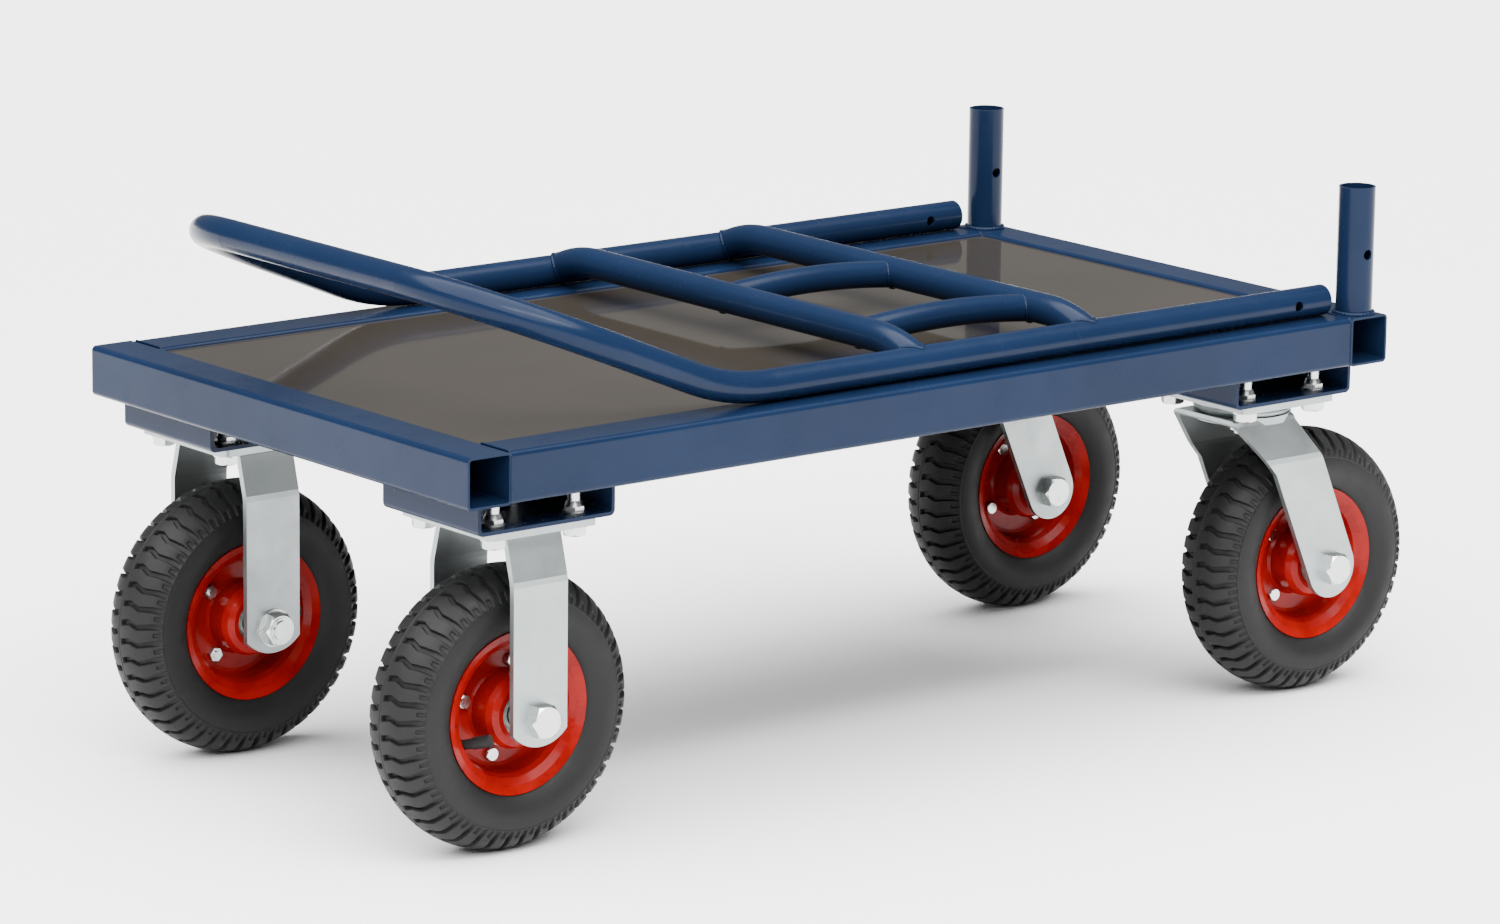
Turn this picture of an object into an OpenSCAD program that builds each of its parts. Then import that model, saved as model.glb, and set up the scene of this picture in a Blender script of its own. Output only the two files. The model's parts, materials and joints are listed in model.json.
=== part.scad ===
// Platform cart: welded deck frame on two rigid and two swivel casters with
// pneumatic wheels, and a lift-off tube handle lying on the deck.
// Millimetres, +Z up. The origin is on the floor, midway along and across the cart.
// -X is the front, the handle sockets stand at the +X end, -Y is the near side.

/* [Deck] */
// length of the deck frame
deck_l = 930; // [700:10:1200]
// width of the deck frame
deck_w = 500; // [420:10:700]
// height of the frame's top face above the floor
deck_top = 325; // [300:1:400]
// front end of the frame, measured from the origin
deck_front = -493.5; // [-700:0.5:-350]
// side of the square frame tube
tube = 40; // [25:1:50]
// wall of the frame tube
tube_wall = 2; // [1.5:0.5:4]
// outside corner radius of the frame tube
tube_round = 4; // [2:0.5:6]
// how far the panel lies below the frame's top face
panel_drop = 2.5; // [0:0.5:6]
// thickness of the deck panel
panel_t = 7.5; // [4:0.5:15]
// gap between the panel and the frame all round
panel_gap = 0.5; // [0.2:0.1:3]

/* [Handle sockets] */
// outside diameter of a socket tube
socket_od = 30; // [25:1:40]
// wall of a socket tube
socket_wall = 2; // [1.5:0.5:3]
// height of a socket above the frame
socket_h = 105; // [60:1:200]
// distance between the two sockets, centre to centre
socket_pitch = 462; // [300:1:660]
// height of the cross hole above the frame
socket_hole_z = 50; // [20:1:90]
// diameter of the cross holes in sockets and handle
cross_hole = 8.5; // [5:0.5:12]

/* [Handle] */
// outside diameter of the handle tube
handle_od = 25; // [20:0.5:34]
// wall of the handle tube
handle_wall = 2; // [1.5:0.5:3]
// length of a straight leg, from the bend to its end
leg_l = 616.5; // [300:1:900]
// angle of the raised part against the legs
rise_angle = 22.5; // [5:0.5:60]
// length of the raised part, from the bend to the grip
rise_l = 234; // [150:1:500]
// centreline radius of the bend
bend_r = 190; // [40:1:300]
// centreline radius of the grip's corners
corner_r = 115; // [40:1:150]
// position of the bend along the cart
handle_x = -229; // [-400:0.5:0]
// sideways shift of the handle as it lies on the deck
handle_y = 8; // [-10:0.5:10]
// gap between the lying handle and the frame
handle_gap = 0.3; // [0.2:0.1:2]
// position of the first rung from the bend
rung1_x = 186.5; // [60:1:400]
// position of the second rung from the bend
rung2_x = 364; // [100:1:560]
// height of the rungs above the legs
rung_rise = 12.5; // [0:0.5:20]
// outside diameter of the two short bows between the rungs
bow_od = 22; // [16:1:25]
// height of a bow over its ends
bow_rise = 5.5; // [1:0.5:20]
// sideways position of the first bow in the handle
bow1_y = 12; // [-200:0.5:200]
// sideways position of the second bow in the handle
bow2_y = -159; // [-200:0.5:200]

/* [Caster brackets] */
// length of a bracket along the cart
bracket_l = 127; // [90:1:200]
// length of a bracket across the cart
bracket_w = 120; // [90:1:200]
// height of a bracket
bracket_h = 25; // [15:1:60]
// sheet of a bracket
bracket_t = 3; // [2:0.5:6]

/* [Casters] */
// distance of the rigid casters from the frame's front end
front_inset = 84; // [60:0.5:200]
// distance between the front and the rear axles
wheelbase = 818.5; // [500:0.5:1100]
// distance of the wheel planes from the middle of the cart
wheel_y = 175; // [120:1:300]
// distance from the kingpin back to the rear axle
trail = 61; // [30:0.5:100]
// thickness of the caster plates
plate_t = 6; // [4:0.5:10]
// length of a caster plate along the cart
plate_l = 100; // [80:1:140]
// length of a caster plate across the cart
plate_w = 115; // [80:1:140]
// bolt pitch along the cart
pitch_l = 75; // [50:1:110]
// bolt pitch across the cart
pitch_w = 87; // [50:1:110]
// thread diameter of the plate bolts
plate_bolt = 10; // [6:1:12]
// sheet of the rigid yokes and the swivel forks
arm_t = 5; // [3:0.5:8]
// width of a yoke arm
arm_w = 50; // [30:1:60]
// half width over the arms of a rigid yoke
yoke_half = 53; // [45:0.5:70]
// half width over the arms of a swivel fork
fork_half = 48; // [42:0.5:65]
// radius of the rounded end of a fork arm
fork_end_r = 25; // [18:0.5:35]

/* [Wheels] */
// outside diameter of a tyre, which also sets the axle height
tyre_od = 220; // [180:1:300]
// width of a tyre
tyre_w = 65; // [50:1:90]
// outside radius of the rim flange
rim_r = 63.5; // [55:0.5:80]
// diameter of the axle bolts
axle_d = 16; // [10:1:20]
// running clearance between the axle and the bearings, on radius
run_gap = 0.05; // [0.02:0.01:0.1]
// radius of the circle of rim bolts
rim_bolt_r = 36.5; // [33:0.5:42]

/* [Hidden] */
$fn = 64;
axle_z = tyre_od / 2;
deck_bottom = deck_top - tube;
panel_top = deck_top - panel_drop;
panel_bottom = panel_top - panel_t;
bracket_z = deck_bottom - bracket_h;
plate_z = bracket_z - plate_t;
front_x = deck_front + front_inset;
rear_x = front_x + wheelbase;
kingpin_x = rear_x - trail;
deck_rear = deck_front + deck_l;
socket_x = deck_rear - tube / 2;
bearer_f = front_x + bracket_l / 2 - bracket_t / 2;
bearer_r = kingpin_x - bracket_l / 2 + bracket_t / 2;
handle_z = deck_top + handle_od / 2 + handle_gap;
crown_t = 6;
race_h = 10;
crown_top = plate_z - race_h - 0.5;
crown_bottom = crown_top - crown_t;
shaft_r = axle_d / 2 - run_gap;
bear_in = 18;
bear_out = 29;
rim_t = 2.6;
arm_hole = axle_d / 2 + 0.2;
valve_tilt = 57;
e = 0.01;

blue = [0.16, 0.24, 0.42];
brown = [0.24, 0.21, 0.19];
zinc = [0.75, 0.77, 0.78];
orange = [0.85, 0.27, 0.08];
black = [0.07, 0.07, 0.07];

// ---------- flat shapes ----------

// square with four rounded corners
module round_square(a, b, r)
{
    union()
    {
        square([a, b - 2 * r], center = true);
        square([a - 2 * r, b], center = true);
        for (sx = [-1, 1])
            for (sy = [-1, 1])
                translate([sx * (a / 2 - r), sy * (b / 2 - r)])
                    circle(r);
    }
}

// section of a rectangular tube
module tube_section(a, b, r, wall)
{
    difference()
    {
        round_square(a, b, r);
        round_square(a - 2 * wall, b - 2 * wall, r - wall);
    }
}

// section of a round tube
module ring(ro, ri)
{
    difference()
    {
        circle(ro);
        circle(ri);
    }
}

// upright rectangle whose two lower corners are rounded
module tray(w, h, r)
{
    union()
    {
        translate([-w / 2, r])
            square([w, h - r]);
        translate([-w / 2 + r, 0])
            square([w - 2 * r, r + e]);
        for (s = [-1, 1])
            translate([s * (w / 2 - r), r])
                circle(r);
    }
}

// ---------- deck ----------

// rail along X
module rail_x(l)
{
    rotate([0, 90, 0])
        linear_extrude(height = l)
            tube_section(tube, tube, tube_round, tube_wall);
}

// cross rail along Y, centred
module rail_y(l, a, b)
{
    rotate([90, 0, 0])
        linear_extrude(height = l, center = true)
            tube_section(a, b, tube_round, tube_wall);
}

module end_rail(x)
{
    color(blue)
        translate([x, 0, deck_top - tube / 2])
            rail_y(deck_w, tube, tube);
}

module side_rail(s)
{
    color(blue)
        translate([deck_front + tube, s * (deck_w - tube) / 2, deck_top - tube / 2])
            rail_x(deck_l - 2 * tube);
}

module deck_panel()
{
    color(brown)
        translate([deck_front + tube + panel_gap, -deck_w / 2 + tube + panel_gap, panel_bottom])
            cube([deck_l - 2 * tube - 2 * panel_gap, deck_w - 2 * tube - 2 * panel_gap, panel_t]);
}

// the cross tubes that carry the panel
module cross_bearers()
{
    h = panel_bottom - deck_bottom;
    color(blue)
        for (x = [bearer_f, (bearer_f + bearer_r) / 2, bearer_r])
            translate([x, 0, deck_bottom + h / 2])
                rail_y(deck_w - 2 * tube, tube, h);
}

module socket(s)
{
    color(blue)
        translate([socket_x, s * socket_pitch / 2, deck_top])
            difference()
            {
                linear_extrude(height = socket_h)
                    ring(socket_od / 2, socket_od / 2 - socket_wall);
                translate([0, 0, socket_hole_z])
                    rotate([90, 0, 0])
                        cylinder(h = 2 * socket_od, d = cross_hole, center = true);
            }
}

// folded channel, open at both ends, with four bolt holes
module bracket(x, s)
{
    color(blue)
        translate([x, s * wheel_y, bracket_z])
            difference()
            {
                rotate([90, 0, 0])
                    linear_extrude(height = bracket_w, center = true)
                        difference()
                        {
                            tray(bracket_l, bracket_h, bracket_t + 2);
                            translate([0, bracket_t])
                                tray(bracket_l - 2 * bracket_t, bracket_h, 2);
                        }
                bolt_places()
                    cylinder(h = 4 * bracket_t, d = plate_bolt + 1, center = true);
                cylinder(h = 4 * bracket_t, r = 9, center = true);
            }
}

// ---------- caster plates and their fasteners ----------

// puts its children at the four bolt places of a caster plate
module bolt_places()
{
    for (sx = [-1, 1])
        for (sy = [-1, 1])
            translate([sx * pitch_l / 2, sy * pitch_w / 2, 0])
                children();
}

// puts its children under each caster bracket
module caster_places()
{
    for (x = [front_x, kingpin_x])
        for (s = [-1, 1])
            translate([x, s * wheel_y, 0])
                children();
}

module plate_blank()
{
    difference()
    {
        translate([0, 0, plate_z])
            linear_extrude(height = plate_t)
                round_square(plate_l, plate_w, 6);
        bolt_places()
            translate([0, 0, plate_z + plate_t / 2])
                cylinder(h = 2 * plate_t, d = plate_bolt + 1, center = true);
    }
}

module rigid_plates()
{
    color(zinc)
        for (s = [-1, 1])
            translate([front_x, s * wheel_y, 0])
                plate_blank();
}

// plate with the upper half of the ball race pressed under it
module swivel_plate(s)
{
    color(zinc)
        translate([kingpin_x, s * wheel_y, 0])
            difference()
            {
                union()
                {
                    plate_blank();
                    translate([0, 0, plate_z - race_h])
                        rotate_extrude()
                            polygon([[20, race_h + e], [20, 4], [24, 0], [38.5, 0], [39.5, 1.5],
                                     [40.5, 3.2], [39.8, 4.4], [42.5, 7], [42.5, race_h + e]]);
                }
                translate([0, 0, plate_z + plate_t / 2])
                    cylinder(h = 2 * plate_t, r = 6.5, center = true);
                translate([0, 0, crown_top + 0.6])
                    rotate_extrude()
                        translate([31, 0])
                            circle(3.4, $fn = 32);
            }
}

module race_balls()
{
    color(zinc)
        for (s = [-1, 1])
            for (a = [0 : 20 : 359])
                translate([kingpin_x, s * wheel_y, crown_top + 0.6])
                    rotate([0, 0, a])
                        translate([31, 0, 0])
                            sphere(3, $fn = 24);
}

// kingpin, riveted over above the plate, with its nut under the crown
module kingpins()
{
    color(zinc)
        for (s = [-1, 1])
            translate([kingpin_x, s * wheel_y, 0])
                union()
                {
                    translate([0, 0, crown_bottom - 14])
                        cylinder(h = plate_z + plate_t - crown_bottom + 14, r = 6.45);
                    translate([0, 0, crown_bottom - 10.3])
                        cylinder(h = 10, r = 12, $fn = 6);
                    translate([0, 0, crown_bottom - 2.3])
                        cylinder(h = 2, r = 14);
                    translate([0, 0, plate_z + plate_t])
                        cylinder(h = 6, r1 = 8.8, r2 = 6.5);
                    translate([0, 0, plate_z - 3])
                        cylinder(h = 3, r = 12);
                }
}

// hexagon head with a chamfered crown, standing on z = 0
module hex_head(af, h)
{
    intersection()
    {
        cylinder(h = h, r = af / sqrt(3), $fn = 6);
        union()
        {
            cylinder(h = h * 0.8, r = af);
            translate([0, 0, h * 0.8 - e])
                cylinder(h = h * 0.2 + e, r1 = af / sqrt(3), r2 = af / 2 - 0.3);
        }
    }
}

module plate_bolts()
{
    tip = deck_bottom - 2.5;
    color(zinc)
        caster_places()
            bolt_places()
            {
                translate([0, 0, plate_z - 2])
                    cylinder(h = 2, r = plate_bolt);
                translate([0, 0, plate_z - 2])
                    rotate([180, 0, 0])
                        hex_head(plate_bolt * 1.7, plate_bolt * 0.64);
                translate([0, 0, plate_z - 2])
                    cylinder(h = tip - plate_z + 1, r = plate_bolt / 2);
                translate([0, 0, tip - 1])
                    cylinder(h = 1, r1 = plate_bolt / 2, r2 = plate_bolt / 2 - 1);
            }
}

// flange nuts inside the brackets
module plate_nuts()
{
    r = plate_bolt / 2 + e;
    color(zinc)
        caster_places()
            bolt_places()
                translate([0, 0, bracket_z + bracket_t])
                    difference()
                    {
                        union()
                        {
                            cylinder(h = 1.6, r = r + 4.2);
                            cylinder(h = 5, r = plate_bolt * 0.8, $fn = 6);
                            translate([0, 0, 5 - e])
                                cylinder(h = 4, r1 = r + 2.3, r2 = r + 0.8);
                        }
                        translate([0, 0, -1])
                            cylinder(h = 12, r = r);
                    }
}

// ---------- rigid yokes ----------

// section of a folded yoke, seen along X: arms of half width w, web at the top
module folded_section(w, top, bend, inset, low)
{
    t = arm_t;
    out = [[w, low], [w, bend - 2], [w - 0.5, bend + 2.5], [w - inset + 1.6, top - 4.5],
           [w - inset - 0.6, top - 1.3], [w - inset - 3.4, top]];
    in = [[w - t, low], [w - t, bend - 2.5], [w - t - 0.5, bend + 1.6],
          [w - inset - t + 2.2, top - t - 3], [w - inset - t + 0.8, top - t - 0.8],
          [w - inset - t - 1.2, top - t]];
    polygon(concat(out,
                   [for (i = [5 : -1 : 0]) [-out[i][0], out[i][1]]],
                   [for (i = [0 : 5]) [-in[i][0], in[i][1]]],
                   [for (i = [5 : -1 : 0]) in[i]]));
}

// outline of a yoke arm, seen along Y: straight sides and a shallow round end
module yoke_outline()
{
    r = 33;
    low = axle_z - 20.5;
    union()
    {
        translate([-arm_w / 2, low + r])
            square([arm_w, plate_z - low - r]);
        intersection()
        {
            translate([0, low + r])
                circle(r);
            translate([-arm_w / 2, low - 1])
                square([arm_w, r + 2]);
        }
    }
}

module yoke(s)
{
    color(zinc)
        translate([front_x, s * wheel_y, 0])
            difference()
            {
                intersection()
                {
                    rotate([90, 0, 90])
                        linear_extrude(height = arm_w, center = true)
                            folded_section(yoke_half, plate_z, plate_z - 38, 10.5, axle_z - 25);
                    rotate([90, 0, 0])
                        linear_extrude(height = 2 * yoke_half + 2, center = true)
                            yoke_outline();
                }
                translate([0, 0, axle_z])
                    rotate([90, 0, 0])
                        cylinder(h = 3 * yoke_half, r = arm_hole, center = true);
            }
}

// ---------- swivel forks ----------

// raked outline of a fork arm, seen along Y, kingpin at x = 0
module fork_outline()
{
    union()
    {
        polygon([[-42, crown_top], [-42, crown_top - 3.5], [-4, axle_z + 86],
                 [trail - 0.92 * fork_end_r, axle_z - 0.39 * fork_end_r], [trail, axle_z],
                 [trail + 0.92 * fork_end_r, axle_z + 0.39 * fork_end_r],
                 [47, axle_z + 96], [24, crown_top - 5], [24, crown_top]]);
        translate([trail, axle_z])
            circle(fork_end_r);
    }
}

module fork(s)
{
    color(zinc)
        translate([kingpin_x, s * wheel_y, 0])
            difference()
            {
                union()
                {
                    intersection()
                    {
                        translate([20, 0, 0])
                            rotate([90, 0, 90])
                                linear_extrude(height = 140, center = true)
                                    folded_section(fork_half, crown_top, crown_top - 36, 11.5, 60);
                        rotate([90, 0, 0])
                            linear_extrude(height = 2 * fork_half + 2, center = true)
                                fork_outline();
                    }
                    translate([0, 0, crown_bottom])
                        cylinder(h = crown_t, r = 40);
                }
                translate([0, 0, crown_bottom - 1])
                    cylinder(h = crown_t + 2, r = 6.5);
                translate([0, 0, crown_top + 0.6])
                    rotate_extrude()
                        translate([31, 0])
                            circle(3.4, $fn = 32);
                translate([trail, 0, axle_z])
                    rotate([90, 0, 0])
                        cylinder(h = 3 * fork_half, r = arm_hole, center = true);
            }
}

// ---------- axles ----------

// axle bolt through arms of half width w; its head is on the side of local -z
module axle_bolt(w)
{
    color(zinc)
    {
        translate([0, 0, -w - 10])
            cylinder(h = 2 * w + 24, r = shaft_r);
        translate([0, 0, -w])
            rotate([180, 0, 0])
                hex_head(24, 10);
    }
}

module axle_nut(w)
{
    color(zinc)
        translate([0, 0, w])
            difference()
            {
                union()
                {
                    cylinder(h = 1.8, r = 15);
                    translate([0, 0, 1.8 - e])
                        hex_head(24, 9.5);
                    cylinder(h = 12.2, r = 10);
                }
                translate([0, 0, -1])
                    cylinder(h = 20, r = shaft_r + e);
            }
}

// the two spacers between the arms and the bearings
module axle_spacers(w)
{
    color(zinc)
        for (m = [0, 1])
            mirror([0, 0, m])
                translate([0, 0, bear_out + 0.3])
                    linear_extrude(height = w - arm_t - bear_out - 0.3)
                        ring(12, axle_d / 2 + 0.1);
}

// stands its children on an axle; turn = 1 puts local -z on the near side
module on_axle(x, s, turn)
{
    translate([x, s * wheel_y, axle_z])
        rotate([turn > 0 ? -90 : 90, 0, 0])
            children();
}

// ---------- wheels (axis along local z, +z towards the near side) ----------

module tyre()
{
    k = tyre_w / 65;
    q = tyre_od / 2 - 110;
    half = [[110 + q, 0], [109.2 + q, 9 * k], [105.9 + q, 18 * k], [100.6 + q, 25 * k],
            [93.6 + q, 29.8 * k], [86.5 + q / 2, 32 * k], [81 + q / 2, 32.5 * k], [75, 31.6 * k],
            [68, 28.6], [rim_r + 1.1, 26.2], [rim_r + 0.2, 23.9], [rim_r - 5.1, 21.1],
            [53.6, 17.7], [51.4, 13.8], [52.6, 12.2], [57, 15], [62, 19], [70, 24 * k],
            [80, 27.2 * k], [88 + q, 26 * k], [95 + q, 22.4 * k], [100.5 + q, 15.5 * k],
            [104 + q, 7.5 * k], [105 + q, 0]];
    n = len(half);
    color(black)
        rotate_extrude()
            polygon(concat([for (i = [0 : n - 1]) half[i]],
                           [for (i = [n - 2 : -1 : 1]) [half[i][0], -half[i][1]]]));
}

// the valve's own axis: out of the tube, through the barrel, towards the near side
module valve_axis(a)
{
    rotate([0, 0, a])
        translate([48, 0, 13])
            rotate([0, -valve_tilt + 24, 0])
                children();
}

module inner_tube(a)
{
    color(black)
    {
        rotate_extrude()
            translate([80, 0])
                ring(22, 20.5);
        intersection()
        {
            valve_axis(a)
                translate([0, 0, -23])
                    union()
                    {
                        cylinder(h = 33, r = 4);
                        translate([0, 0, 33 - e])
                            cylinder(h = 14, r = 4.8);
                    }
            difference()
            {
                cylinder(h = 120, r = 75, center = true);
                rotate_extrude()
                    translate([80, 0])
                        circle(21.2);
            }
        }
    }
}

// one pressed half: hub cup with the bearing seat, dish, barrel and flange
module rim_half()
{
    r = rim_r;
    rotate_extrude()
        polygon([[17.5, bear_in], [19.7, bear_in], [19.7, 27.6], [23.8, 25.4], [26.2, 21.4],
                 [26.2, 0], [49.4, 0], [49.4, 4.5], [51, 14], [53.3, 18], [r - 5.3, 21.4],
                 [r, 24.2], [r, 26.4], [r - 6.2, 23.6], [51.6, 20], [49, 15.5], [47.2, 6],
                 [45.8, 3.4], [42.8, rim_t], [30.6, rim_t], [28.5, 4.8], [28.5, 22],
                 [25.8, 27], [21.3, 30], [17.5, 30]]);
}

module rim_bolt_places(a)
{
    for (i = [0 : 3])
        rotate([0, 0, a + 90 * i])
            translate([rim_bolt_r, 0, 0])
                children();
}

module rim_outer(a, v)
{
    color(orange)
        difference()
        {
            rim_half();
            rim_bolt_places(a)
                cylinder(h = 20, r = 3.2, center = true);
            valve_axis(v)
                translate([0, 0, -14])
                    cylinder(h = 30, r = 4.4);
        }
}

module rim_inner(a)
{
    color(orange)
        difference()
        {
            mirror([0, 0, 1])
                rim_half();
            rim_bolt_places(a)
                cylinder(h = 20, r = 3.2, center = true);
        }
}

// flip = 1 puts the nuts on the near side
module rim_bolts(a, flip)
{
    color(zinc)
        rim_bolt_places(a)
            mirror([0, 0, flip])
            {
                translate([0, 0, -rim_t - 7])
                    cylinder(h = 2 * rim_t + 9, r = 3);
                translate([0, 0, rim_t])
                    hex_head(10, 4);
                translate([0, 0, -rim_t - 5])
                    cylinder(h = 5, r = 5.77, $fn = 6);
            }
}

module bearings()
{
    color(zinc)
        for (m = [0, 1])
            mirror([0, 0, m])
                translate([0, 0, bear_in])
                    difference()
                    {
                        cylinder(h = bear_out - bear_in, r = 17.5);
                        translate([0, 0, -1])
                            cylinder(h = bear_out - bear_in + 2, r = axle_d / 2);
                        translate([0, 0, bear_out - bear_in - 1])
                            linear_extrude(height = 2)
                                ring(15, 10.5);
                    }
}

// puts its children, drawn on a local axis, on one of the four wheels
module wheel_at(x, s)
{
    translate([x, s * wheel_y, axle_z])
        rotate([90, 0, 0])
            children();
}

// ---------- handle (local frame: bend on the origin, legs along +x) ----------

handle_w = socket_pitch;
tan_l = bend_r * tan(rise_angle / 2);
// gap between a straight length and a bend, inside their seam
lap = 0.1;

module handle_section()
{
    ring(handle_od / 2, handle_od / 2 - handle_wall);
}

// a seam a hair proud of the tube, where a straight length meets a bend
module seam()
{
    linear_extrude(height = 1, center = true)
        ring(handle_od / 2 + 0.05, handle_od / 2 - handle_wall - 0.05);
}

// a straight length of tube up the z axis between two seams
module straight(from, to, last_seam = true)
{
    translate([0, 0, from + lap])
        linear_extrude(height = to - from - lap - (last_seam ? lap : 0))
            handle_section();
    translate([0, 0, from])
        seam();
    if (last_seam)
        translate([0, 0, to])
            seam();
}

module handle_side(s)
{
    translate([0, s * handle_w / 2, 0])
        rotate([0, 90, 0])
            straight(tan_l, leg_l, false);
    translate([tan_l, s * handle_w / 2, bend_r])
        rotate([90, 0, 0])
            rotate([0, 0, -90 - rise_angle])
                rotate_extrude(angle = rise_angle)
                    translate([bend_r, 0])
                        handle_section();
    translate([0, s * handle_w / 2, 0])
        rotate([0, rise_angle - 90, 0])
            straight(tan_l, rise_l - corner_r);
    rotate([0, 180 + rise_angle, 0])
        translate([rise_l - corner_r, s * (handle_w / 2 - corner_r), 0])
            rotate([0, 0, s > 0 ? 0 : -90])
                rotate_extrude(angle = 90)
                    translate([corner_r, 0])
                        handle_section();
}

module handle_tube()
{
    color(blue)
        translate([handle_x, handle_y, handle_z])
            difference()
            {
                union()
                {
                    handle_side(-1);
                    handle_side(1);
                    rotate([0, 180 + rise_angle, 0])
                        translate([rise_l, 0, 0])
                            rotate([90, 0, 0])
                                straight(corner_r - handle_w / 2, handle_w / 2 - corner_r);
                }
                translate([leg_l - 36, 0, 0])
                    rotate([90, 0, 0])
                        cylinder(h = 2 * handle_w, d = cross_hole, center = true);
            }
}

// a rung: straight and raised in the middle, bowing down to the legs at both ends
module rung(x)
{
    r = 110;
    a = acos(1 - rung_rise / r);
    run = r * sin(a);
    translate([x, 0, 0])
        difference()
        {
            union()
            {
                translate([0, 0, rung_rise])
                    rotate([90, 0, 0])
                        straight(run - handle_w / 2, handle_w / 2 - run);
                for (m = [0, 1])
                    mirror([0, m, 0])
                        translate([0, handle_w / 2 - run, rung_rise - r])
                            rotate([90, 0, 90])
                                rotate([0, 0, 90 - a])
                                    rotate_extrude(angle = a)
                                        translate([r, 0])
                                            handle_section();
            }
            for (m = [-1, 1])
                translate([0, m * handle_w / 2, 0])
                    rotate([0, 90, 0])
                        cylinder(h = 200, d = handle_od, center = true);
        }
}

module handle_rungs()
{
    color(blue)
        translate([handle_x, handle_y, handle_z])
        {
            rung(rung1_x);
            rung(rung2_x);
        }
}

// a short arched tube between the two rungs
module bow(y)
{
    l = rung2_x - rung1_x;
    r = l * l / 8 / bow_rise + bow_rise / 2;
    a = 2 * asin(l / 2 / r);
    translate([(rung1_x + rung2_x) / 2, y, rung_rise - 2 + bow_rise - r])
        rotate([90, 0, 0])
            rotate([0, 0, 90 - a / 2])
                rotate_extrude(angle = a, $fn = 1440)
                    translate([r, 0])
                        ring(bow_od / 2, bow_od / 2 - handle_wall, $fn = 48);
}

module handle_bows()
{
    color(blue)
        translate([handle_x, handle_y, handle_z])
            for (y = [bow1_y, bow2_y])
                difference()
                {
                    bow(y);
                    for (x = [rung1_x, rung2_x])
                        translate([x, y, rung_rise])
                            rotate([90, 0, 0])
                                cylinder(h = 60, d = handle_od, center = true);
                }
}

// the near axle bolt has its head on the near side, the far one its nut
module front_axle_bolts()
{
    on_axle(front_x, -1, 1)
        axle_bolt(yoke_half);
    on_axle(front_x, 1, -1)
        axle_bolt(yoke_half);
}

module front_axle_nuts()
{
    on_axle(front_x, -1, 1)
        axle_nut(yoke_half);
    on_axle(front_x, 1, -1)
        axle_nut(yoke_half);
}

module front_spacers()
{
    on_axle(front_x, -1, 1)
        axle_spacers(yoke_half);
    on_axle(front_x, 1, -1)
        axle_spacers(yoke_half);
}

// ---------- nodes ----------

end_rail(deck_front + tube / 2);  // front_rail
end_rail(deck_rear - tube / 2);  // rear_rail
side_rail(-1);  // side_rail_near
side_rail(1);  // side_rail_far
deck_panel();
cross_bearers();
socket(-1);  // socket_near
socket(1);  // socket_far
bracket(front_x, -1);  // bracket_front_near
bracket(front_x, 1);  // bracket_front_far
bracket(kingpin_x, -1);  // bracket_rear_near
bracket(kingpin_x, 1);  // bracket_rear_far
rigid_plates();
yoke(-1);  // yoke_near
yoke(1);  // yoke_far
swivel_plate(-1);  // swivel_plate_near
swivel_plate(1);  // swivel_plate_far
plate_bolts();
plate_nuts();
race_balls();
kingpins();
front_axle_bolts();
front_axle_nuts();
front_spacers();
fork(-1);  // fork_near
fork(1);  // fork_far
on_axle(rear_x, -1, 1) axle_bolt(fork_half);  // rear_axle_bolt_near
on_axle(rear_x, 1, 1) axle_bolt(fork_half);  // rear_axle_bolt_far
on_axle(rear_x, -1, 1) axle_nut(fork_half);  // rear_axle_nut_near
on_axle(rear_x, 1, 1) axle_nut(fork_half);  // rear_axle_nut_far
on_axle(rear_x, -1, 1) axle_spacers(fork_half);  // rear_spacers_near
on_axle(rear_x, 1, 1) axle_spacers(fork_half);  // rear_spacers_far
wheel_at(front_x, -1) tyre();  // tyre_front_near
wheel_at(front_x, 1) tyre();  // tyre_front_far
wheel_at(rear_x, -1) tyre();  // tyre_rear_near
wheel_at(rear_x, 1) tyre();  // tyre_rear_far
wheel_at(front_x, -1) inner_tube(-154);  // inner_tube_front_near
wheel_at(front_x, 1) inner_tube(5);  // inner_tube_front_far
wheel_at(rear_x, -1) inner_tube(95);  // inner_tube_rear_near
wheel_at(rear_x, 1) inner_tube(77);  // inner_tube_rear_far
wheel_at(front_x, -1) rim_outer(75, -154);  // rim_outer_front_near
wheel_at(front_x, 1) rim_outer(50, 5);  // rim_outer_front_far
wheel_at(rear_x, -1) rim_outer(50, 95);  // rim_outer_rear_near
wheel_at(rear_x, 1) rim_outer(32, 77);  // rim_outer_rear_far
wheel_at(front_x, -1) rim_inner(75);  // rim_inner_front_near
wheel_at(front_x, 1) rim_inner(50);  // rim_inner_front_far
wheel_at(rear_x, -1) rim_inner(50);  // rim_inner_rear_near
wheel_at(rear_x, 1) rim_inner(32);  // rim_inner_rear_far
wheel_at(front_x, -1) rim_bolts(75, 0);  // rim_bolts_front_near
wheel_at(front_x, 1) rim_bolts(50, 1);  // rim_bolts_front_far
wheel_at(rear_x, -1) rim_bolts(50, 0);  // rim_bolts_rear_near
wheel_at(rear_x, 1) rim_bolts(32, 0);  // rim_bolts_rear_far
wheel_at(front_x, -1) bearings();  // bearings_front_near
wheel_at(front_x, 1) bearings();  // bearings_front_far
wheel_at(rear_x, -1) bearings();  // bearings_rear_near
wheel_at(rear_x, 1) bearings();  // bearings_rear_far
handle_tube();
handle_rungs();
handle_bows();
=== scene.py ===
# %% [markdown]
# # A platform cart with a lift-off handle
#
# This lesson dresses a platform cart: a blue deck frame on four casters, with its tube handle
# lying loose on the deck. The plain shapes come ready made as a fixed frame of parts, in
# metres, with +Z up. Nothing here moves or resizes them. The lesson gives every part its
# finish, and makes in mesh code what the plain shapes can't show: tyre tread and weld beads.

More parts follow.
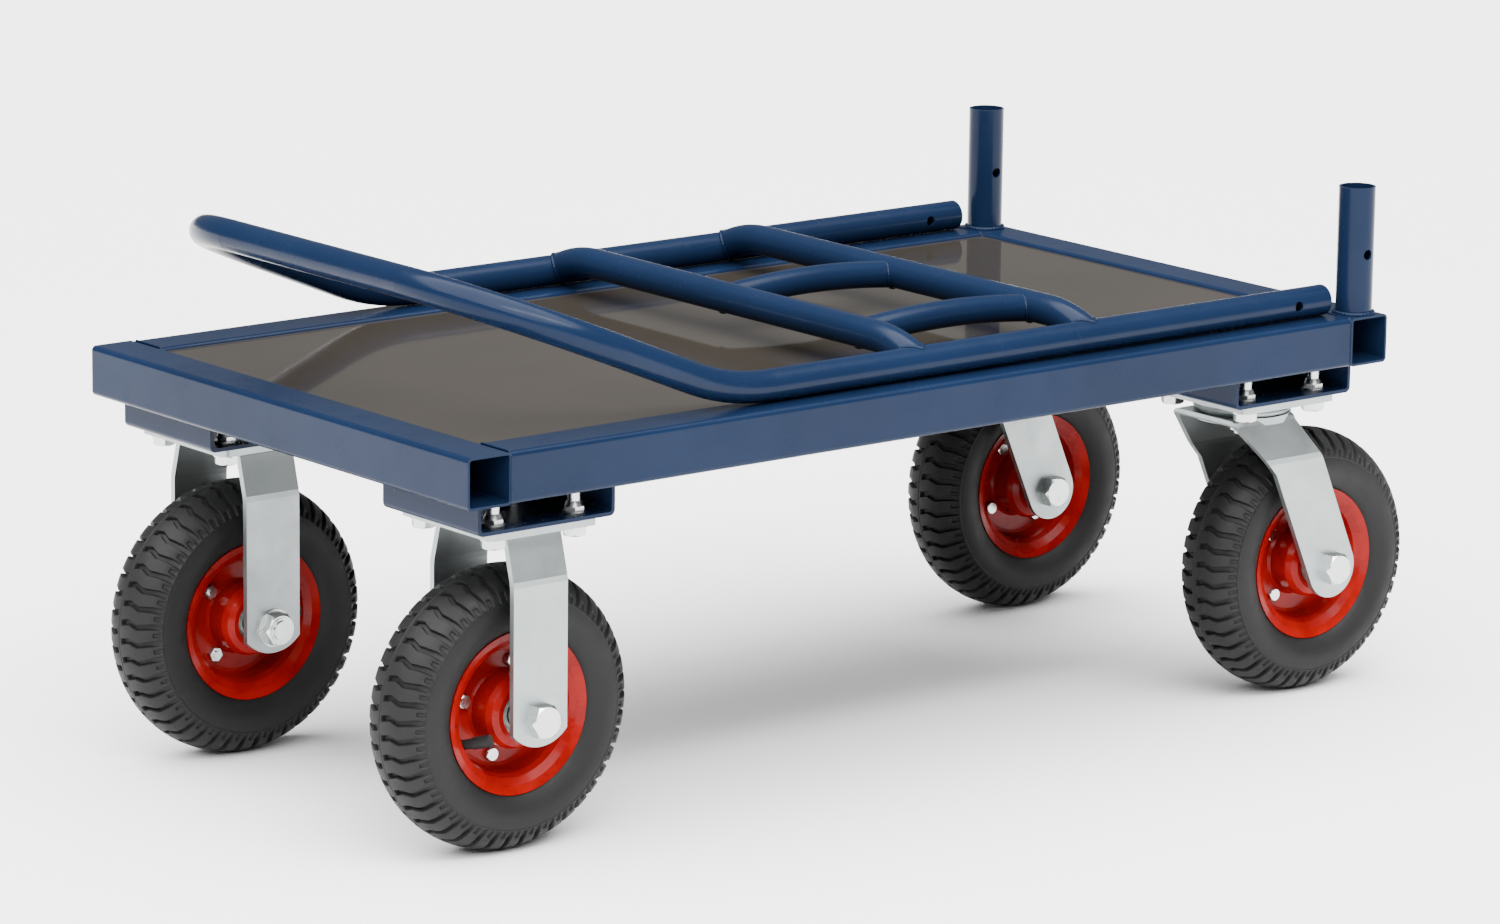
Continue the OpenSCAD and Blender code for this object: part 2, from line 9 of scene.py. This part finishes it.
# %% The frame and its size
import json
from math import sin, cos, pi, radians, sqrt, acos, hypot
import bpy
from mathutils import Vector, Matrix


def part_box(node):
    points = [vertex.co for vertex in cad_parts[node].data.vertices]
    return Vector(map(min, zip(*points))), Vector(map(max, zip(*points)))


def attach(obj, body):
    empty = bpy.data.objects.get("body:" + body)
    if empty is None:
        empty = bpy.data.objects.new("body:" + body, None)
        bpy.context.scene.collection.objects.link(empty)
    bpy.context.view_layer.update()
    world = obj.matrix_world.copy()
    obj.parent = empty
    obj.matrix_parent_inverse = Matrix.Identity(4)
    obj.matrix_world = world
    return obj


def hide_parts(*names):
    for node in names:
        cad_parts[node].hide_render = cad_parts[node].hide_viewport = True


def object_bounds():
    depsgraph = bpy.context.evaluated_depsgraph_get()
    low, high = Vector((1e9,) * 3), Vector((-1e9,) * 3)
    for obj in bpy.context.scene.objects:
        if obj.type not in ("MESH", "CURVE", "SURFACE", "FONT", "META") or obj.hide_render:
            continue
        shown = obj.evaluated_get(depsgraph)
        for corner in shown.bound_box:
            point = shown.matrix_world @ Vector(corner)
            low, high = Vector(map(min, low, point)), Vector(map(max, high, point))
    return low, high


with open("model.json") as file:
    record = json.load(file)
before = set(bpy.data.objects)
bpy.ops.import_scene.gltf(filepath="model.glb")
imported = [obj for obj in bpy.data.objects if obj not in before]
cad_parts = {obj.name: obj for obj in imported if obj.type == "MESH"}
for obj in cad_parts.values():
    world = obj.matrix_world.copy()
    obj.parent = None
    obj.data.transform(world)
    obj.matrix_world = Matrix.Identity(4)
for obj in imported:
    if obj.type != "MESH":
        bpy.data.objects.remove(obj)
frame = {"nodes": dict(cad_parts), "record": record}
size_of_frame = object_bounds()
record = frame["record"]
MM = 0.001
print("frame box:", [tuple(round(v, 4) for v in corner) for corner in size_of_frame])

# %% [markdown]
# ## The camera
#
# A long lens from a few metres away keeps the deck's edges nearly parallel, as a catalogue
# picture does. The camera is set by where it looks, from what side, how high and how far,
# because those four are easy to think about. It leans by less than a degree, so the small
# roll is added by turning its right and up directions together.

# %% Camera
deck_lo, deck_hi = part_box("deck_panel")
look_at = (deck_lo + deck_hi) / 2 + Vector((-0.2343, -0.29154, -0.01875))
side, height, roll, distance = radians(-38.83), radians(12.67), 0.0121, 4.8556

backward = Vector((sin(side) * cos(height), -cos(side) * cos(height), sin(height)))
right = Vector((0, 0, 1)).cross(backward).normalized()
up = backward.cross(right)
right, up = cos(roll) * right + sin(roll) * up, cos(roll) * up - sin(roll) * right

camera_data = bpy.data.cameras.new("camera")
camera_data.lens, camera_data.sensor_width = 156.1, 36
camera = bpy.data.objects.new("camera", camera_data)
turn = Matrix((right, up, backward)).transposed().to_4x4()
camera.matrix_world = Matrix.Translation(look_at + distance * backward) @ turn
bpy.context.scene.collection.objects.link(camera)
bpy.context.scene.camera = camera
print("camera at", [round(v, 3) for v in camera.matrix_world.translation])

# %% [markdown]
# ## Shader maths as sums
#
# A material's look is a small sum over its surface: this much grain, that much dust. Wiring
# it node by node hides the sum, so one class wraps a socket and gives it +, -, * and /. Each
# operator adds a Math node. Numbers alone are worked out in Python and never become nodes.
# Any other node comes from one method that takes its type, its settings and its inputs.

# %% The shader helper
class Wire:
    """One value or colour on its way through a material's nodes."""

    def __init__(self, finish, socket):
        self.finish, self.socket = finish, socket

    def maths(self, operation, *values):
        inputs = dict(enumerate(values))
        return self.finish.node("ShaderNodeMath", {"operation": operation}, inputs)

    def __add__(self, other):
        return self.maths("ADD", self, other)

    def __sub__(self, other):
        return self.maths("SUBTRACT", self, other)

    def __rsub__(self, other):
        return self.maths("SUBTRACT", other, self)

    def __mul__(self, other):
        return self.maths("MULTIPLY", self, other)

    def __truediv__(self, other):
        return self.maths("DIVIDE", self, other)

    def __pow__(self, other):
        return self.maths("POWER", self, other)

    __radd__, __rmul__ = __add__, __mul__


class Finish:
    """A material whose nodes are written as a sum."""

    def __init__(self, name, **constants):
        self.material = bpy.data.materials.new(name)
        self.material.use_nodes = True
        self.tree = self.material.node_tree
        self.shader = self.tree.nodes["Principled BSDF"]
        for socket, value in constants.items():
            self.shader.inputs[socket.replace("_", " ")].default_value = value

    def set(self, socket, value):
        if isinstance(value, Wire):
            self.tree.links.new(value.socket, socket)
        else:
            socket.default_value = value

    def node(self, kind, settings=None, inputs=None, output=0):
        made = self.tree.nodes.new(kind)
        for name, value in (settings or {}).items():
            if name == "stops":
                stops = made.color_ramp.elements
                while len(stops) < len(value):
                    stops.new(0.5)
                for stop, (place, colour) in zip(stops, value):
                    stop.position, stop.color = place, colour
            else:
                setattr(made, name, value)
        for name, value in (inputs or {}).items():
            self.set(made.inputs[name], value)
        return Wire(self, made.outputs[output])

    def place(self):
        """Where a point is on the part itself, in metres."""
        return self.node("ShaderNodeTexCoord", output="Object")

    def noise(self, per_metre, detail=3, rough=0.5, stretch=None):
        where = self.place()
        if stretch:
            where = self.node("ShaderNodeVectorMath", {"operation": "MULTIPLY"},
                              {0: where, 1: stretch})
        return self.node("ShaderNodeTexNoise", {},
                         {"Vector": where, "Scale": per_metre, "Detail": detail,
                          "Roughness": rough})

    def band(self, value, low, high, out_low=0.0, out_high=1.0):
        """A value stretched from low..high to out_low..out_high, held at both ends."""
        return self.node("ShaderNodeMapRange", {"clamp": True},
                         {0: value, 1: low, 2: high, 3: out_low, 4: out_high})

    def colours(self, share, first, second):
        """first where share is 0, second where it is 1."""
        return self.node("ShaderNodeMix", {"data_type": "RGBA"},
                         {0: share, 6: (*first, 1), 7: (*second, 1)}, output=2)

    def bump(self, height, depth, strength=1.0):
        return self.node("ShaderNodeBump", {},
                         {"Height": height, "Distance": depth, "Strength": strength})

    def wear(self, **varying):
        for socket, value in varying.items():
            self.set(self.shader.inputs[socket.replace("_", " ")], value)
        return self.material

# %% [markdown]
# ## Blue powder coat
#
# Powder coat is baked plastic over steel: glossy, with a faint orange peel where the powder
# flowed together, and a clear skin on top. The peel is a bump from noise of a few millimetres.
# The blue drifts a little in depth, and a thin film of dust makes some places less glossy.

# %% Blue powder coat
def blue_powder_coat():
    f = Finish("blue powder coat", Coat_Roughness=0.12, IOR=1.18)
    cloud = f.band(f.noise(6, 4), 0.35, 0.65)
    peel = f.noise(420, 2, 0.45)
    grit = f.noise(2600, 2, 0.6)
    colour = f.colours(cloud, (0.0037, 0.0095, 0.027), (0.0046, 0.0118, 0.033))
    dust = f.band(f.noise(38, 5, 0.6), 0.45, 0.75)
    return f.wear(Base_Color=colour,
                  Roughness=0.20 + 0.08 * dust + 0.04 * grit,
                  Coat_Weight=0.05 - 0.03 * dust,
                  Normal=f.bump(peel + 0.25 * grit, 0.00006))


blue = blue_powder_coat()
print("made", blue.name)

# %% [markdown]
# ## Dark deck panel
#
# The deck is board under a smooth dark film, so shiny that it mirrors the handle. The film
# has a very slow waviness, fine scuffs from loads, and no grain of its own.

# %% Deck panel film
def panel_film():
    f = Finish("dark panel film", IOR=1.24)
    wave = f.noise(9, 2)
    scuff = f.band(f.noise(60, 6, 0.7, stretch=(1, 6, 1)), 0.56, 0.72)
    fleck = f.band(f.noise(900, 2), 0.62, 0.72)
    colour = f.colours(f.band(f.noise(5, 3), 0.3, 0.7), (0.021, 0.018, 0.015),
                       (0.026, 0.022, 0.018))
    return f.wear(Base_Color=colour,
                  Roughness=0.055 + 0.05 * scuff + 0.04 * fleck,
                  Normal=f.bump(wave + 0.02 * scuff, 0.0004, 0.35))


film = panel_film()
print("made", film.name)

# %% [markdown]
# ## Zinc plate
#
# Pressed steel dipped in bright zinc is pale, a little blue, and soft in its shine. Its
# spangle is a fine mottle, and handling leaves duller clouds. The fasteners are plated
# brighter, so they get a smoother version of the same finish.

# %% Zinc
def zinc_plate(name, rough, tint):
    f = Finish(name, Metallic=1.0)
    spangle = f.node("ShaderNodeTexVoronoi", {"feature": "F1"},
                     {"Vector": f.place(), "Scale": 520.0})
    cloud = f.band(f.noise(30, 5, 0.6), 0.35, 0.7)
    draw = f.noise(900, 2, 0.5, stretch=(1, 1, 0.08))
    colour = f.colours(0.35 * cloud + 0.3 * spangle, tint,
                       tuple(0.82 * c for c in tint))
    return f.wear(Base_Color=colour,
                  Roughness=rough + 0.10 * cloud + 0.06 * draw,
                  Normal=f.bump(draw + 0.6 * spangle, 0.00004, 0.6))


zinc = zinc_plate("zinc plate", 0.34, (0.36, 0.39, 0.39))
bright_zinc = zinc_plate("bright zinc fasteners", 0.20, (0.60, 0.62, 0.61))
steel = zinc_plate("ground steel", 0.14, (0.42, 0.42, 0.41))
print("made", zinc.name, "and", bright_zinc.name, "and", steel.name)

# %% [markdown]
# ## Orange enamel
#
# The rims are sprayed in thick orange enamel over pressings, very glossy, deeper in colour
# where it pooled. A slow noise moves the colour between the two, and a fine one gives the
# enamel its slight peel.

# %% Orange enamel
def orange_enamel():
    f = Finish("orange enamel", Coat_Roughness=0.05, IOR=1.2)
    pool = f.band(f.noise(45, 3), 0.35, 0.65)
    peel = f.noise(700, 2)
    speck = f.band(f.noise(1500, 2), 0.66, 0.74)
    return f.wear(Base_Color=f.colours(pool, (0.155, 0.0004, 0.0001), (0.21, 0.0012, 0.0001)),
                  Roughness=0.24 + 0.10 * pool + 0.2 * speck,
                  Coat_Weight=0.10 - 0.08 * speck,
                  Normal=f.bump(peel, 0.00005))


orange = orange_enamel()
print("made", orange.name)

# %% [markdown]
# ## Rubber
#
# Moulded rubber is nearly black, dull where it flexes and a touch shinier where the mould was
# polished. Mould release leaves it mottled. The valve rubber is the same stuff, smoother.

# %% Rubber
def rubber(name, shade, rough):
    f = Finish(name, IOR=1.3)
    mottle = f.band(f.noise(70, 5, 0.65), 0.3, 0.7)
    pores = f.noise(1400, 3, 0.6)
    colour = f.colours(mottle, (shade, shade, shade * 1.02),
                       (shade * 1.35, shade * 1.34, shade * 1.33))
    return f.wear(Base_Color=colour,
                  Roughness=rough + 0.14 * mottle,
                  Normal=f.bump(pores + 0.5 * mottle, 0.00012, 0.7))


tyre_rubber = rubber("tyre rubber", 0.0048, 0.5)
valve_rubber = rubber("valve rubber", 0.007, 0.36)
print("made", tyre_rubber.name, "and", valve_rubber.name)

# %% [markdown]
# ## Finishes for the ready-made parts
#
# The record says which slot each part's finish comes from. A few parts in the zinc slot are
# turned or forged fasteners, so they take the brighter plate.

# %% Dress the frame
by_slot = {"blue_paint": blue, "panel": film, "zinc": zinc, "bright_steel": steel,
           "orange_paint": orange, "tyre": tyre_rubber, "rubber": valve_rubber}
fasteners = ("plate_bolts", "plate_nuts", "axle_bolt", "axle_nut", "rim_bolts", "kingpins")
for part in record["subparts"]:
    node = frame["nodes"][part["node"]]
    finish = by_slot[part["material_slot"]]
    if any(word in part["node"] for word in fasteners):
        finish = bright_zinc
    node.data.materials.clear()
    node.data.materials.append(finish)
print("dressed", len(record["subparts"]), "parts")

# %% [markdown]
# ## Making a piece
#
# Every new piece is a list of points and faces, turned smooth with its hard edges kept, given
# its finish, and tied to the body it moves with. One helper does that for all of them.

# %% Piece helper
def piece(name, points, faces, finish, body, crease=38, replaces=(), turn=None):
    mesh = bpy.data.meshes.new(name)
    mesh.from_pydata([tuple(p) for p in points], [], faces)
    mesh.validate()
    mesh.polygons.foreach_set("use_smooth", [True] * len(mesh.polygons))
    mesh.set_sharp_from_angle(angle=radians(crease))
    mesh.materials.append(finish)
    made = bpy.data.objects.new(name, mesh)
    if turn is not None:
        made.matrix_world = turn
    bpy.context.scene.collection.objects.link(made)
    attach(made, body)
    if replaces:
        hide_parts(*replaces)
    return made


def grid_faces(rows, columns, close_rows=False, close_columns=True):
    """Quads over a grid of points, row after row."""
    quads = []
    for i in range(rows if close_rows else rows - 1):
        for j in range(columns if close_columns else columns - 1):
            a, b = i * columns, (i + 1) % rows * columns
            k = (j + 1) % columns
            quads.append((a + j, a + k, b + k, b + j))
    return quads

# %% [markdown]
# ## Tyres
#
# A small pneumatic tyre has a zigzag groove across the crown 45 times round, the two sides
# half a pitch apart and turned end for end, a thin parting line between them, and thin radial
# ribs down the shoulder to a raised line. A flat bump would vanish at the outline, where the
# notches show most, so the tread is real geometry.
#
# The trick is a grid whose columns follow the groove walls. Each pitch has twelve columns,
# six for its groove and six for the pocket midway, and each row says how far the zigzag has
# shifted and how deep the groove is there. Walls then come out crisp with few points.

# %% Tyre outline
CROWN, MID, HALF, BULGE = 110.0, 80.0, 32.5, 2.15


def tyre_radius(across):
    return MID + (CROWN - MID) * max(0.0, 1 - (across / HALF) ** BULGE) ** (1 / BULGE)


crown_rows = [0, 0.35, 0.7, 1.9, 2.1, 2.6, 4.5, 7.2, 10, 12.4, 14.9, 17.5, 20, 22.4, 24, 25.5,
              26.7, 27.7, 28.3, 29, 29.8, 30.5, 30.9]
side_rows = [(90.3, 31.35), (89.7, 31.5), (89.0, 31.25), (87.2, 31.75), (84.5, 32.2),
             (81, 32.5), (78, 32.3), (75, 31.6), (72, 30.5), (69.5, 29.3), (67.2, 28),
             (65.6, 26.9), (64.4, 25.6), (60, 22.3), (54, 18), (51.6, 14)]
inside_rows = [(53, 12.4), (62, 19), (72, 25), (82, 27), (95, 22.4), (103, 9)]
outline = [(tyre_radius(w), w) for w in crown_rows] + side_rows + inside_rows
print("outline points on one side:", len(outline))

# %% Tyre tread
PITCHES = 45
SMOOTH_FROM = 30.95   # beyond this far across, the sidewall has no grooves
pitch = 2 * pi * CROWN / PITCHES


def held(x, table):
    """Straight lines between the pairs of a table, held at both ends."""
    for (x0, y0), (x1, y1) in zip(table, table[1:]):
        if x <= x1:
            return y0 + (y1 - y0) * max(0.0, x - x0) / (x1 - x0)
    return table[-1][1]


zigzag = [(1.9, 0), (10, -1.9), (17.5, 1.4), (27, -0.3), (31, 0)]
groove_depth = [(1.9, 0), (2.1, 0.5), (2.6, 3.2), (25, 3.3), (27.7, 2.4), (29.8, 1.5), (30.9, 0.9)]
pocket_depth = [(27.2, 0), (27.7, 0.3), (28.3, 1.5), (29.8, 1.3), (30.9, 0.8)]
groove_half = [(17.5, 2.6), (24, 2.7), (28.3, 3.2), (31, 3.2)]
pocket_half = [(24, 2.0), (28, 2.5), (31, 2.7)]
parting = [(0, 0.4), (0.35, 0.3), (0.7, 0)]
wall_steps = [(-1, 0), (-0.88, 0.16), (-0.62, 1), (0.62, 1), (0.88, 0.16), (1, 0)]


def tread_row(across, near):
    """Twelve (shift along the tread, depth) pairs for one pitch of one row."""
    shift = held(across, zigzag) * (1 if near else -1)
    made = []
    for place in (0, pitch / 2):
        groove = (place == 0) == near
        depth = held(across, groove_depth if groove else pocket_depth)
        half = held(across, groove_half if groove else pocket_half)
        if across > SMOOTH_FROM:
            depth, half = 0, held(31, groove_half if groove else pocket_half)
        made += [(place + shift + half * at, max(depth * share, held(across, parting)))
                 for at, share in wall_steps]
    return made


# %% Tyre mesh
def tyre_points():
    loop = [(r, -w, True) for r, w in reversed(outline)]
    loop += [(r, w, False) for r, w in outline[1:]]
    n = len(loop)
    points = []
    for i, (r, y, near) in enumerate(loop):
        r0, y0, _ = loop[i - 1]
        r1, y1, _ = loop[(i + 1) % n]
        length = hypot(r1 - r0, y1 - y0)
        out_r, out_y = (y1 - y0) / length, -(r1 - r0) / length
        on_tread = r > 90.5 and abs(y) < SMOOTH_FROM and (r, abs(y)) not in inside_rows
        across = abs(y) if on_tread else 31
        row = tread_row(across, near)
        for k in range(PITCHES):
            for along, depth in row:
                angle = (k * pitch + along) / CROWN
                deep_r, deep_y = r - depth * out_r, y - depth * out_y
                points.append(Vector((deep_r * cos(angle), deep_y, deep_r * sin(angle))) * MM)
    return points, n


tyre_verts, tyre_rows = tyre_points()
tyre_faces = grid_faces(tyre_rows, 12 * PITCHES, close_rows=True)
phases = {"front_near": 152.1, "front_far": 150.9, "rear_near": 151.4, "rear_far": 154.7}
for spot, phase in phases.items():
    low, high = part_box("tyre_" + spot)
    turned = Matrix.Rotation(-radians(phase), 3, "Y")
    piece("tread_tyre_" + spot, [turned @ point for point in tyre_verts], tyre_faces,
          tyre_rubber, "wheel_" + spot, crease=32, replaces=["tyre_" + spot],
          turn=Matrix.Translation((low + high) / 2))
print("each tyre has", len(tyre_faces), "faces")

# %% [markdown]
# ## Weld beads
#
# A weld is a row of small overlapping ripples laid along a joint. The bead here is a thin
# tube swept along the joint line, thicker at each ripple. Joints come in three shapes: a ring
# round a post, a saddle where one round tube meets another, and the seam round a square tube.

# %% Bead maker
def bead(name, path, thick, body, ripple=2.6, sides=7):
    """A rippled tube round a closed path of points in millimetres."""
    count = len(path)
    points, walked = [], 0.0
    for i, point in enumerate(path):
        along = (path[(i + 1) % count] - path[i - 1]).normalized()
        side = along.cross(Vector((0.31, 0.23, 0.92))).normalized()
        rise = side.cross(along)
        walked += (point - path[i - 1]).length if i else 0.0
        swell = thick * (0.84 + 0.16 * abs(cos(pi * walked / ripple)))
        for k in range(sides):
            turn = 2 * pi * k / sides
            points.append((point + swell * (cos(turn) * side + sin(turn) * rise)) * MM)
    return piece(name, points, grid_faces(count, sides, close_rows=True), blue,
                 body, crease=80)


def closed_walk(corners, step=0.65):
    """Points every step or so along the straight lines between corners."""
    made = []
    for a, b in zip(corners, corners[1:] + corners[:1]):
        parts = max(1, round((b - a).length / step))
        made += [a.lerp(b, k / parts) for k in range(parts)]
    return made


def box_mm(node):
    return tuple(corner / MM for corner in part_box(node))

# %% Rings round the sockets
deck_body, handle_body = "deck_and_rigid_casters", "lift_off_handle"
for spot in ("near", "far"):
    low, high = box_mm("socket_" + spot)
    centre, radius = (low + high) / 2, (high.x - low.x) / 2
    ring = [Vector((centre.x + (radius + 0.6) * cos(2 * pi * k / 150),
                    centre.y + (radius + 0.6) * sin(2 * pi * k / 150), low.z + 0.6))
            for k in range(150)]
    bead("weld_socket_" + spot, ring, 2.3, deck_body, ripple=3.1)

# %% Saddles on the handle
tube_lo, tube_hi = box_mm("handle_tube")
rung_lo, rung_hi = box_mm("handle_rungs")
bow_lo, bow_hi = box_mm("handle_bows")
tube_r, bow_r, rung_bend = 12.5, 11.0, 110.0
leg_z = tube_lo.z + tube_r
rise = rung_hi.z - tube_r - leg_z
tilt = acos(1 - rise / rung_bend)
rung_places = (rung_lo.x + tube_r, rung_hi.x - tube_r)
for i, rung_x in enumerate(rung_places):
    for spot, leg_y, sign in (("near", tube_lo.y + tube_r, 1), ("far", tube_hi.y - tube_r, -1)):
        inward = Vector((0, sign * cos(tilt), sin(tilt)))
        upward = Vector((0, -sign * sin(tilt), cos(tilt)))
        saddle = [Vector((rung_x, leg_y, leg_z)) + (tube_r * abs(cos(t)) + 0.5) * inward
                  + (tube_r + 0.2) * (cos(t) * Vector((1, 0, 0)) + sin(t) * upward)
                  for t in (2 * pi * k / 130 for k in range(130))]
        bead(f"weld_rung_{i + 1}_{spot}", saddle, 1.5, handle_body)
    for j, bow_y in enumerate((bow_lo.y + bow_r, bow_hi.y - bow_r)):
        way = 1 if i == 0 else -1
        saddle = []
        for k in range(120):
            t = 2 * pi * k / 120
            down = -2 + (bow_r + 0.2) * sin(t)
            out = sqrt(max(0.0, tube_r ** 2 - down ** 2)) + 0.4
            saddle.append(Vector((rung_x + way * out, bow_y + (bow_r + 0.2) * cos(t),
                                  leg_z + rise + down)))
        bead(f"weld_bow_{j + 1}_{i + 1}", saddle, 1.3, handle_body)

# %% Seams round the rail ends
for end, rail in ((1, "front_rail"), (-1, "rear_rail")):
    rail_lo, rail_hi = box_mm(rail)
    seam_x = rail_hi.x if end == 1 else rail_lo.x
    for spot in ("near", "far"):
        low, high = box_mm("side_rail_" + spot)
        a, b, c, d = low.y, high.y, low.z, high.z
        cut = 3.2
        corners = [Vector((seam_x, y, z)) for y, z in
                   ((a, c + cut), (a, d - cut), (a + cut, d), (b - cut, d), (b, d - cut),
                    (b, c + cut), (b - cut, c), (a + cut, c))]
        bead(f"weld_{rail}_{spot}", closed_walk(corners), 0.9, deck_body, ripple=3.4)

# %% [markdown]
# ## Studio
#
# The cart stands on a plain pale floor that runs back without an edge. One very wide soft
# light comes from overhead and a little to the front, so that the floor is bright and the
# shadows are faint. A long narrow light on the near side draws thin highlights along the
# tubes. The room itself stays dim, so that the dark panel and paint stay dark.

# %% Floor
FLOOR_GAP = 0.0005   # keeps the tyres from sharing a plane with the floor
FLOOR_HALF = 14


def floor():
    f = Finish("pale floor", Roughness=0.75)
    grain = f.noise(3, 2)
    f.wear(Base_Color=f.colours(grain, (0.94, 0.94, 0.94), (0.965, 0.965, 0.965)))
    mesh = bpy.data.meshes.new("floor")
    around = ((-1, -1), (1, -1), (1, 1), (-1, 1))
    corners = [(x * FLOOR_HALF, y * FLOOR_HALF, 0) for x, y in around]
    mesh.from_pydata(corners, [], [(0, 1, 2, 3)])
    mesh.materials.append(f.material)
    made = bpy.data.objects.new("floor", mesh)
    made.location.z = size_of_frame[0][2] - FLOOR_GAP
    bpy.context.scene.collection.objects.link(made)
    return made


floor()

# %% Lights
def soft_light(name, place, target, width, depth, watts, tint=(1, 1, 1)):
    data = bpy.data.lights.new(name, "AREA")
    data.shape, data.size, data.size_y = "RECTANGLE", width, depth
    data.energy, data.color = watts, tint
    made = bpy.data.objects.new(name, data)
    way = Vector(target) - Vector(place)
    made.matrix_world = (Matrix.Translation(place)
                         @ way.to_track_quat("-Z", "Y").to_matrix().to_4x4())
    bpy.context.scene.collection.objects.link(made)
    return made


def sky_panel(name, comes_from, strength, spread):
    """Soft light of one direction everywhere, as from a very wide ceiling panel."""
    data = bpy.data.lights.new(name, "SUN")
    data.energy, data.angle = strength, radians(spread)
    made = bpy.data.objects.new(name, data)
    made.matrix_world = Vector(comes_from).to_track_quat("Z", "Y").to_matrix().to_4x4()
    bpy.context.scene.collection.objects.link(made)
    return made


sky_panel("overhead", (-0.25, -0.2, 1.0), 15.0, 100)
soft_light("strip", (-0.6, -2.6, 3.4), (0, 0, 0.3), 3.4, 0.35, 110)
world = bpy.data.worlds.new("room")
world.use_nodes = True
world.node_tree.nodes["Background"].inputs["Color"].default_value = (1, 1, 1, 1)
world.node_tree.nodes["Background"].inputs["Strength"].default_value = 0.28
bpy.context.scene.world = world
